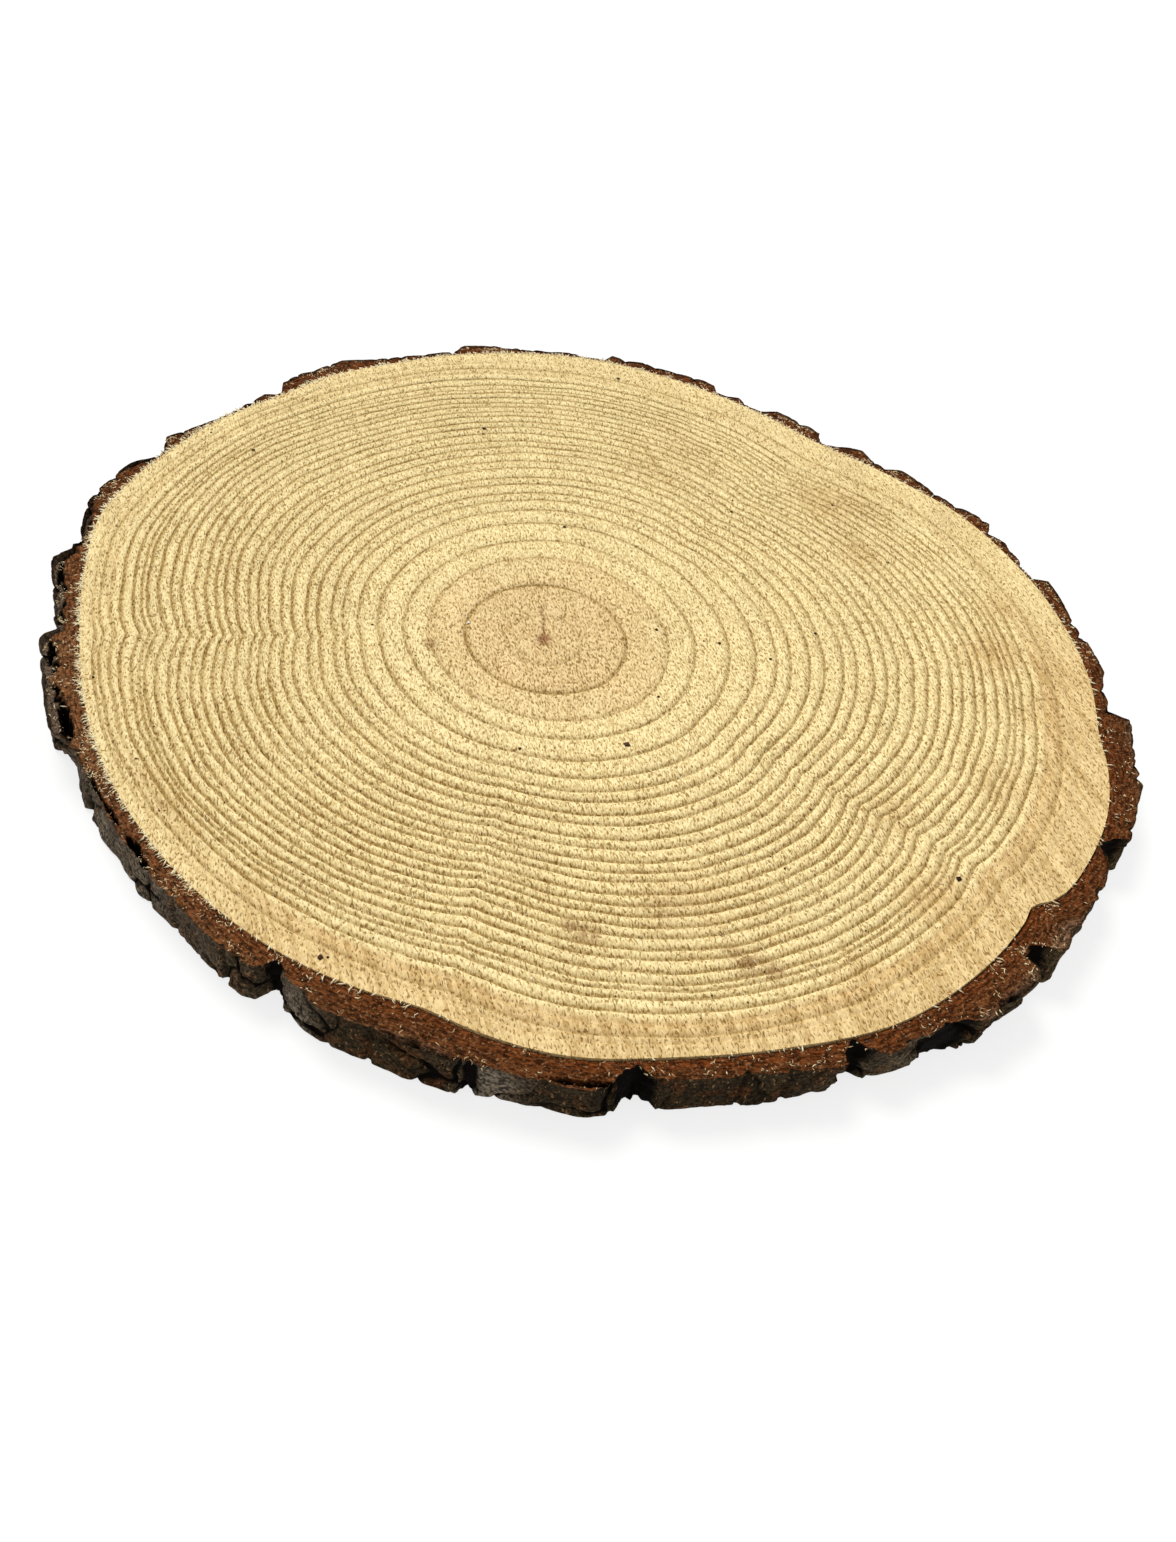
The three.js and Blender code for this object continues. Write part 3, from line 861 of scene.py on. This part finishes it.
def bark_section(settings):
    """The bark's points, angles by steps round the section, and what is painted on them."""
    angle = (np.arange(BARK_POINTS_ROUND) * 360 / BARK_POINTS_ROUND)[:, None]
    inner = wood_edge(angle) + inner_gap(angle)
    least = inner + 0.5
    wall_height = np.linspace(0, THICKNESS - FIBRE_ROOM, WALL_STEPS + 1)[None]
    inset, crack, scale = wall_inset(angle, wall_height, settings)
    wall = np.maximum(bark_edge(angle, wall_height) - inset, least)

    share = (np.arange(1, UPPER_STEPS + 1) / UPPER_STEPS)[None]
    upper = wall[:, -1:] + (inner - wall[:, -1:]) * share
    off_wood = upper - wood_edge(angle)
    where = polar(angle, upper, 0)
    layers = 0.5 + 0.5 * np.sin(off_wood * 3.3 + 5 * drift(where, 9, 73))
    sunk = 0.1 + 0.3 * rough(where, 2.2, 71) + 0.3 * rough(where, 0.9, 75, 1) + 0.12 * layers
    sunk += (0.1 + 1.5 * inner_gap(angle)) * np.clip(1 - (1 - share) * 12, 0, 1)
    weathered, split = rind_at(angle, wall[:, -1:] - upper, wall[:, -1:] - wood_edge(angle))
    sunk += weathered * (0.5 + 1.6 * np.clip(1 - (wall[:, -1:] - upper) / 3, 0, 1))
    slit = np.maximum(slit_at(angle, off_wood), SPLIT_DEPTH * split)
    upper_height = THICKNESS - FIBRE_ROOM - sunk - slit

    down = (np.arange(1, INNER_STEPS + 1) / (INNER_STEPS + 1))[None]
    inside_height = (THICKNESS - FIBRE_ROOM) * (1 - down) + 0 * angle
    inside = inner + 0 * inside_height

    out = (np.arange(LOWER_STEPS) / LOWER_STEPS)[None]
    lower = inner + (wall[:, :1] - inner) * out
    lower_height = 0.3 * rough(polar(angle, lower, -40.0), 2.2, 81) * np.clip(4 * (1 - out), 0, 1)

    parts = (lower, wall, upper, inside)

    def all_round(*values):
        """One table for the whole section, from a number or a table for each of its four parts."""
        return np.concatenate([value + 0 * part for value, part in zip(values, parts)], axis=1)

    radius = all_round(*parts)
    height = all_round(lower_height, wall_height, upper_height, inside_height)
    painted = {
        "cut": all_round(1, 0, 1 - weathered, 1),
        # Painted shade: the wall's cracks and hollows, the slits in the sawn face, and all of the side next
        # to the wood.
        "hollow_shade": all_round(0, crack, np.clip(slit / 1.5, 0, 1), 1),
        "plate": all_round(0, scale, 0, 0),
        "rind": all_round(0, 0, weathered, 0),
        "dusty": bump(turn_between(angle, DUSTY_ANGLE), DUSTY_HALF) + 0 * radius,
        "off_wood": radius - wood_edge(angle),
    }
    # The foot of the wall is between sawn and weathered.
    painted["cut"][:, LOWER_STEPS] = 0.5
    # Painted light on the sunlit wall at the left, and a grey coat on some plates.
    films_and_painted_light = [most * bump(turn_between(angle, at), half) for at, half, most in FILMS_AND_PAINTED_LIGHT]
    painted["film_and_painted_light"] = np.maximum.reduce(films_and_painted_light) + 0 * radius
    return angle[:, 0], radius, height, painted


def bark_faces_and_uv(count, steps):
    """Quads round the section and the slice, and a place in one of a few strips for each corner."""
    faces, uv = [], []
    per_strip = count // BARK_STRIPS
    for i in range(count):
        strip, left = divmod(i, per_strip)
        ends = (left / per_strip, (left + 1) / per_strip)
        for k in range(steps):
            here, after = i * steps, (i + 1) % count * steps
            beyond = (k + 1) % steps
            faces.append((here + k, after + k, after + beyond, here + beyond))
            low, high = ((strip + 0.02 + 0.96 * v / steps) / BARK_STRIPS for v in (k, k + 1))
            uv += [(ends[0], low), (ends[1], low), (ends[1], high), (ends[0], high)]
    return faces, uv


def bark_material(settings):
    """Red-brown where it is sawn, with fine layers along the ring; grey-brown and cracked outside."""
    material, tree, shader = finish("bark", roughness=0.9, specular=0.03)
    here = place(tree)
    streak_place = add(tree, "ShaderNodeAttribute", attribute_name="streak").outputs["Vector"]
    streaks = noise(tree, streak_place, 1.0, 3, 0.65)
    grains = noise(tree, here, 0.8 * MM, 2, 0.6)
    spots = noise(tree, stretched(tree, here, (1, 1, 0.5)), 0.75 * MM, 1, 0.5)
    patches = noise(tree, here, 6 * MM, 3, 0.6)
    off_wood = reading(tree, "off_wood")
    sawn = mixed(tree, between(tree, maths(tree, "MULTIPLY_ADD", patches, 4.0, off_wood), 2.5, 8.0),
                 settings.inner, settings.outer)  # fmt: skip
    old = between(tree, maths(tree, "MULTIPLY_ADD", patches, 3.0, off_wood), 8.3, 11.0, 0, 0.5)
    sawn = mixed(tree, old, sawn, settings.weathered)
    sawn = mixed(tree, maths(tree, "MULTIPLY", reading(tree, "dusty"), 0.2), sawn, settings.fleck)
    sawn = darker(tree, sawn, between(tree, streaks, 0.38, 0.62, 0.4, 1.65))
    sawn = darker(tree, sawn, between(tree, grains, 0.36, 0.62, 0.6, 1.25))
    sawn = mixed(tree, between(tree, spots, 0.60, 0.67, 0, 0.5), sawn, settings.fleck)
    skin = darker(tree, settings.skin, between(tree, reading(tree, "plate"), 0.1, 0.9, 0.5, 1.7))
    skin = mixed(tree, between(tree, patches, 0.52, 0.66, 0, 0.45), skin, settings.outer)
    skin = mixed(tree, maths(tree, "MULTIPLY", reading(tree, "rind"), 0.85), skin, settings.weathered)
    # Painted light: across the whole mask the wall is mixed evenly towards this grey, most at the sunlit
    # left; the noise below adds the grey coat in patches.
    skin = mixed(tree, maths(tree, "MULTIPLY", reading(tree, "film_and_painted_light"), 0.4), skin, settings.grey_film_and_painted_light)
    film_and_painted_light = maths(tree, "MULTIPLY", between(tree, noise(tree, here, 5 * MM, 3, 0.6), 0.45, 0.60),
                 between(tree, grains, 0.38, 0.6))  # fmt: skip
    film_and_painted_light = maths(tree, "MULTIPLY", film_and_painted_light, reading(tree, "film_and_painted_light"))
    skin = mixed(tree, maths(tree, "MULTIPLY", film_and_painted_light, 0.7), skin, settings.grey_film_and_painted_light)
    skin = darker(tree, skin, between(tree, grains, 0.34, 0.66, 0.4, 1.7))
    skin = mixed(tree, between(tree, spots, 0.64, 0.70, 0, 0.5), skin, settings.fleck)
    base = mixed(tree, between(tree, reading(tree, "cut"), 0.35, 0.9), skin, sawn)
    # Painted shade, near black, in the cracks, hollows and slits and on the side next to the wood.
    base = mixed(tree, between(tree, reading(tree, "hollow_shade"), 0.1, 0.6), base, settings.crack)
    tree.links.new(base, shader.inputs["Base Color"])
    raised(tree, shader, maths(tree, "ADD", grains, streaks), 0.4 * MM, 0.8)
    return material


def streak_places(angle, radius, height):
    """Places squeezed along the ring, so that noise read there makes streaks along the bark's layers."""
    turn = np.radians(angle)[:, None]
    squeeze = 60.0
    off_wood = radius - wood_edge(angle)[:, None]
    x, y, z = np.broadcast_arrays(squeeze * np.cos(turn), squeeze * np.sin(turn), off_wood * 1.6)
    return np.stack([x + height * 0.9, y, z], axis=-1)


def make_bark(settings):
    """The ring of bark: its wall in plates and scales, its faces sawn with the wood."""
    angle, radius, height, painted = bark_section(settings)
    count, steps = radius.shape
    faces, uv = bark_faces_and_uv(count, steps)
    attributes = {key: values.ravel() for key, values in painted.items()}
    attributes["streak"] = streak_places(angle, radius, height).reshape(-1, 3)
    points = polar(angle[:, None], radius, height).reshape(-1, 3)
    piece = mesh_object("rugged_bark", points, faces, bark_material(settings), attributes, uv, sharp=60)
    settle(piece, "bark", "bark")


# ---------------------------------------------------------------------------------------------------
# Fibres, sawdust, crumbs and grains
# ---------------------------------------------------------------------------------------------------

# How thickly the torn fibres stand round the wood's rim: angle and density.
RIM_DENSITY = [
    (0, 0.15), (40, 0.25), (75, 1), (125, 1), (150, 0.8), (170, 1.1), (225, 1.1), (240, 0.6), (252, 0.2),
    (270, 0.08), (345, 0.08),
]  # fmt: skip
# How thickly the sawdust lies round the bark's sawn face: angle and density.
DUST_DENSITY = [
    (0, 0.5), (60, 0.8), (110, 1), (160, 1), (185, 1.3), (205, 1.3), (235, 1), (262, 0.6), (300, 0.3),
    (314, 0.7), (318, 1.5), (329, 1.5), (336, 0.6), (350, 0.5),
]  # fmt: skip
# The dark grains that stand out: angle, distance from the pith, and size.
SPECKS = [
    (330.4, 126.7, 1.7), (254.3, 121.9, 1.5), (254.9, 120.8, 0.7), (201.5, 116.5, 1.1), (87.5, 137.3, 1.3),
    (108.5, 100.3, 1.5), (109, 97.5, 0.9), (146.5, 115.3, 1.2), (114.5, 127.3, 0.9), (148, 130.3, 0.9),
    (91, 51.5, 1.2), (110.5, 51, 0.8), (21.5, 32, 1), (54, 63, 0.8), (16.5, 77, 1), (7, 62, 0.9),
    (306.5, 44, 1.6), (12.5, 48.5, 1), (57, 87, 1), (63.5, 90, 0.8), (59, 92, 0.8), (84.5, 91, 0.8),
    (32.5, 112.5, 1), (47.5, 115.5, 1), (335, 36, 1), (270, 43, 0.9),
]  # fmt: skip
# A pale chip on the second ring: angle, and distance from the pith.
CHIP = (175, 20.9)
# The way the saw went, which most loose fibres follow.
SAW_ANGLE = 108


def thick_and_thin(random, count, table):
    """Random angles, as thick on the ground as a table of angles and densities says."""
    grid = np.arange(0, 360, 0.5)
    density = np.interp(grid, *zip(*table), period=360)
    return random.choice(grid, count, p=density / density.sum()) + random.uniform(0, 0.5, count)


def nearest_height(angle, radius, table_radius, table_height):
    """The height of a sawn face, from the nearest point of its table of angles by steps."""
    row = np.round(angle * len(table_radius) / 360).astype(int) % len(table_radius)
    step = np.argmin(np.abs(table_radius[row] - radius[:, None]), axis=1)
    return table_height[row, step]


def wood_height(angle, radius, wood):
    """The height of the sawn wood."""
    _, rows, upper_loops = wood_loops(wood)
    return nearest_height(angle, radius, rows["radius"][:upper_loops].T, rows["height"][:upper_loops].T)


def sawn_bark_places(angle, bark, share):
    """Places on the sawn bark: share is the way from the wood to the outside."""
    _, radius, height, _ = bark_section(bark)
    first = LOWER_STEPS + WALL_STEPS
    upper_radius, upper_height = (table[:, first : first + UPPER_STEPS] for table in (radius, height))
    row = np.round(angle * len(radius) / 360).astype(int) % len(radius)
    reach = np.maximum(upper_radius[row, 1] - wood_edge(angle) - 0.6, 0.3)
    out = wood_edge(angle) + 0.4 + reach * share
    return polar(angle, out, nearest_height(angle, out, upper_radius, upper_height))


def toned(name, pale, dark):
    """A material that goes from one colour to another as each small shape's tone says."""
    material, tree, shader = finish(name, roughness=0.85, specular=0.15)
    grains = noise(tree, place(tree), 0.5 * MM, 1)
    base = mixed(tree, reading(tree, "tone"), pale, dark)
    base = darker(tree, base, between(tree, grains, 0.3, 0.7, 0.85, 1.1))
    tree.links.new(base, shader.inputs["Base Color"])
    return material


def small_things(name, slot, points, faces, material, tone):
    """A piece of many small shapes, kept under the sawn face's highest level."""
    points[:, 2] = np.minimum(points[:, 2], THICKNESS - 0.01)
    tone = np.repeat(tone, len(points) // len(tone))
    settle(mesh_object(name, points, faces, material, {"tone": tone}), slot)


def make_fibres(dust, wood):
    """Torn fibres: a fringe over the bark round the wood's rim, and loose ones on the sawn face."""
    random = np.random.default_rng(5)
    # The fibres' pale colour carries a painted highlight.
    material = toned("torn_fibres", dust.fibre_and_highlight, dust.shaded)
    angle = thick_and_thin(random, dust.rim, RIM_DENSITY)
    root = polar(angle, wood_edge(angle) - random.uniform(-0.15, 0.8, dust.rim), THICKNESS - FIBRE_ROOM - 0.1)
    heading = angle + random.normal(0, 36, dust.rim)
    reach = 0.7 + 1.9 * random.random(dust.rim) ** 2
    width = random.uniform(0.3, 0.65, dust.rim)
    rise = random.uniform(-0.25, 0.25, dust.rim)
    bend = random.uniform(-0.2, 0.2, dust.rim)
    points, faces = strands(root, heading, reach, width, rise, bend)
    small_things("rim_fibres", "wood", points, faces, material, random.random(dust.rim) ** 3)

    angle = random.uniform(0, 360, dust.loose)
    radius = wood_edge(angle) * np.sqrt(random.uniform(0.0004, 0.985, dust.loose))
    root = polar(angle, radius, wood_height(angle, radius, wood) + 0.05)
    heading = SAW_ANGLE + random.normal(0, 14, dust.loose) + 180 * random.integers(0, 2, dust.loose)
    reach = random.uniform(0.7, 1.9, dust.loose)
    width = random.uniform(0.18, 0.38, dust.loose)
    rise = random.uniform(0, 0.12, dust.loose)
    bend = random.uniform(-0.12, 0.12, dust.loose)
    points, faces = strands(root, heading, reach, width, rise, bend)
    small_things("loose_fibres", "wood", points, faces, material, random.random(dust.loose) ** 2)


def make_dust(dust, bark):
    """Sawdust and crumbs of bark on the bark's sawn face, and one pale chip on the second ring."""
    random = np.random.default_rng(6)
    angle = thick_and_thin(random, dust.flecks, DUST_DENSITY)
    near_wood, near_rim = random.beta(1, 5, dust.flecks), random.beta(4, 1, dust.flecks)
    share = np.where(random.random(dust.flecks) < 0.45, near_wood, near_rim)
    where = sawn_bark_places(angle, bark, share)
    where = where[random.random(dust.flecks) < np.clip(4.5 * drift(where, 4, 97) - 2.0, 0.06, 1)]
    heading = random.uniform(0, 360, len(where))
    reach = 0.4 + 1.3 * random.random(len(where)) ** 2
    width = random.uniform(0.2, 0.5, len(where))
    rise = random.uniform(0, 0.25, len(where))
    points, faces = strands(where, heading, reach, width, rise, random.uniform(-0.3, 0.3, len(where)))
    # The sawdust's pale colour carries a painted highlight too.
    material = toned("sawdust", dust.fibre_and_highlight, dust.shaded)
    small_things("sawdust", "wood", points, faces, material, random.random(len(where)) ** 0.7)
    chip = polar(*CHIP, THICKNESS - FIBRE_ROOM)[None]
    points, faces = crumbs(chip, np.array([1.4]), 0.4, random)
    small_things("pale_chip", "wood", points, faces, toned("pale_chip", dust.chip, dust.fibre_and_highlight), np.zeros(1))

    angle = random.uniform(0, 360, dust.crumbs)
    where = sawn_bark_places(angle, bark, random.uniform(0, 1, dust.crumbs))
    size = 0.4 + 0.7 * random.random(dust.crumbs) ** 2
    points, faces = crumbs(where, size, 0.5, random)
    material = toned("bark_crumbs", bark.fleck, [0.4 * part for part in bark.outer])
    small_things("bark_crumbs", "bark", points, faces, material, random.random(dust.crumbs) ** 0.3)


def make_specks(dust, wood):
    """Small dark grains on the sawn wood: those that stand out, and scattered smaller ones."""
    random = np.random.default_rng(7)
    angle = random.uniform(0, 360, dust.specks)
    radius = wood_edge(angle) * np.sqrt(random.uniform(0.01, 0.96, dust.specks))
    size = random.uniform(0.35, 0.75, dust.specks)
    listed = np.array(SPECKS).T * [[1], [1], [1.25]]
    angle, radius, size = (np.concatenate(pair) for pair in zip(listed, (angle, radius, size)))
    where = polar(angle, radius, wood_height(angle, radius, wood) + 0.1 * size)
    points, faces = crumbs(where, size, 0.5, random)
    material = toned("dark_grains", dust.grain, [3 * part for part in dust.grain])
    small_things("dark_grains", "bark", points, faces, material, random.random(len(size)) ** 2)


# ---------------------------------------------------------------------------------------------------
# Stage
# ---------------------------------------------------------------------------------------------------

# The eye's place from the pith on the upper face, how far it looks down, and its roll.
EYE_FROM_PITH = (17.6, -329.4, 278.3)
LOOK_DOWN = 44.6
ROLL = 9.5
LENS = 37.35  # for a sensor 36 mm high
# Which way the sun is, how high it stands and how wide it is, all in degrees.
SUN_AZIMUTH, SUN_HEIGHT, SUN_SPREAD = 128, 56, 26
FLOOR_SIZE = 6.0
# The floor's own light, so that it stays pale under the slice.
FLOOR_GLOW = 0.78


def make_camera():
    """The camera, looking down at the slice from the front."""
    data = bpy.data.cameras.new("camera")
    data.lens = LENS
    data.sensor_width = 36
    camera = bpy.data.objects.new("camera", data)
    eye = Vector((PITH_X, PITH_Y, THICKNESS)) + Vector(EYE_FROM_PITH)
    tilt = Matrix.Rotation(math.radians(90 - LOOK_DOWN), 4, "X")
    roll = Matrix.Rotation(math.radians(ROLL), 4, "Z")
    camera.matrix_world = Matrix.Translation(eye * MM) @ tilt @ roll
    bpy.context.scene.collection.objects.link(camera)
    bpy.context.scene.camera = camera


def make_floor(settings):
    """A plain pale floor under the slice."""
    material, _, shader = finish("floor", roughness=0.9, specular=0.0)
    shader.inputs["Base Color"].default_value = (*settings.floor, 1)
    shader.inputs["Emission Color"].default_value = (1, 1, 1, 1)
    shader.inputs["Emission Strength"].default_value = FLOOR_GLOW
    half = FLOOR_SIZE / MM / 2
    corners = [(-half, -half, 0), (half, -half, 0), (half, half, 0), (-half, half, 0)]
    floor = mesh_object("floor", corners, [(0, 1, 2, 3)], material)


def make_light(settings):
    """A soft sun from behind and the left, and an even white sky."""
    azimuth, height = math.radians(SUN_AZIMUTH), math.radians(SUN_HEIGHT)
    towards = Vector((math.cos(azimuth) * math.cos(height), math.sin(azimuth) * math.cos(height),
                      math.sin(height)))  # fmt: skip
    data = bpy.data.lights.new("key_light", "SUN")
    data.energy = settings.sun
    data.angle = math.radians(SUN_SPREAD)
    data.color = (1.0, 0.98, 0.94)
    sun = bpy.data.objects.new("key_light", data)
    sun.rotation_euler = towards.to_track_quat("Z", "Y").to_euler()
    bpy.context.scene.collection.objects.link(sun)
    world = bpy.data.worlds.new("sky")
    world.use_nodes = True
    sky = world.node_tree.nodes["Background"]
    sky.inputs["Color"].default_value = (1, 1, 1, 1)
    sky.inputs["Strength"].default_value = settings.sky
    bpy.context.scene.world = world


# ---------------------------------------------------------------------------------------------------
# The add-on
# ---------------------------------------------------------------------------------------------------


class WOODSLICE_OT_stage(bpy.types.Operator):
    """Add the floor, the light and the camera"""

    bl_idname = "wood_slice.stage"
    bl_label = "Stage"

    def execute(self, context):
        settings = context.scene.wood_slice_stage
        context.scene.view_settings.view_transform = "Standard"
        make_camera()
        make_floor(settings)
        make_light(settings)
        return {"FINISHED"}


class WOODSLICE_OT_wood(bpy.types.Operator):
    """Add the sawn disc of wood"""

    bl_idname = "wood_slice.wood"
    bl_label = "Wood"

    def execute(self, context):
        make_wood(context.scene.wood_slice_wood)
        return {"FINISHED"}


class WOODSLICE_OT_bark(bpy.types.Operator):
    """Add the ring of bark"""

    bl_idname = "wood_slice.bark"
    bl_label = "Bark"

    def execute(self, context):
        make_bark(context.scene.wood_slice_bark)
        return {"FINISHED"}


class WOODSLICE_OT_fibres(bpy.types.Operator):
    """Add the torn fibres at the wood's rim and on the sawn face"""

    bl_idname = "wood_slice.fibres"
    bl_label = "Fibres"

    def execute(self, context):
        make_fibres(context.scene.wood_slice_dust, context.scene.wood_slice_wood)
        return {"FINISHED"}


class WOODSLICE_OT_dust(bpy.types.Operator):
    """Add the sawdust, the pale chip and the crumbs of bark"""

    bl_idname = "wood_slice.dust"
    bl_label = "Dust"

    def execute(self, context):
        make_dust(context.scene.wood_slice_dust, context.scene.wood_slice_bark)
        return {"FINISHED"}


class WOODSLICE_OT_specks(bpy.types.Operator):
    """Add the small dark grains on the wood"""

    bl_idname = "wood_slice.specks"
    bl_label = "Specks"

    def execute(self, context):
        make_specks(context.scene.wood_slice_dust, context.scene.wood_slice_wood)
        return {"FINISHED"}


class WOODSLICE_PT_panel(bpy.types.Panel):
    """Lists the pieces of the wood slice"""

    bl_idname = "WOODSLICE_PT_panel"
    bl_label = "Wood slice"
    bl_space_type = "VIEW_3D"
    bl_region_type = "UI"
    bl_category = "Wood slice"

    def draw(self, context):
        for operator in OPERATORS:
            self.layout.operator(operator.bl_idname)
        for name in SETTINGS:
            box = self.layout.box()
            group = getattr(context.scene, name)
            for key in group.__annotations__:
                box.prop(group, key)


SETTINGS = {
    "wood_slice_wood": WoodSettings,
    "wood_slice_bark": BarkSettings,
    "wood_slice_dust": DustSettings,
    "wood_slice_stage": StageSettings,
}
OPERATORS = [
    WOODSLICE_OT_stage,
    WOODSLICE_OT_wood,
    WOODSLICE_OT_bark,
    WOODSLICE_OT_fibres,
    WOODSLICE_OT_dust,
    WOODSLICE_OT_specks,
]


def register():
    """Registers the settings, the operators and the panel."""
    for cls in [*SETTINGS.values(), *OPERATORS, WOODSLICE_PT_panel]:
        bpy.utils.register_class(cls)
    for name, cls in SETTINGS.items():
        setattr(bpy.types.Scene, name, PointerProperty(type=cls))


def unregister():
    """Takes away what register() added."""
    for name in SETTINGS:
        delattr(bpy.types.Scene, name)
    for cls in reversed([*SETTINGS.values(), *OPERATORS, WOODSLICE_PT_panel]):
        bpy.utils.unregister_class(cls)


def main():
    """Makes every piece."""
    register()
    bpy.ops.wood_slice.stage()
    bpy.ops.wood_slice.wood()
    bpy.ops.wood_slice.bark()
    bpy.ops.wood_slice.fibres()
    bpy.ops.wood_slice.dust()
    bpy.ops.wood_slice.specks()


if __name__ == "__main__":
    main()
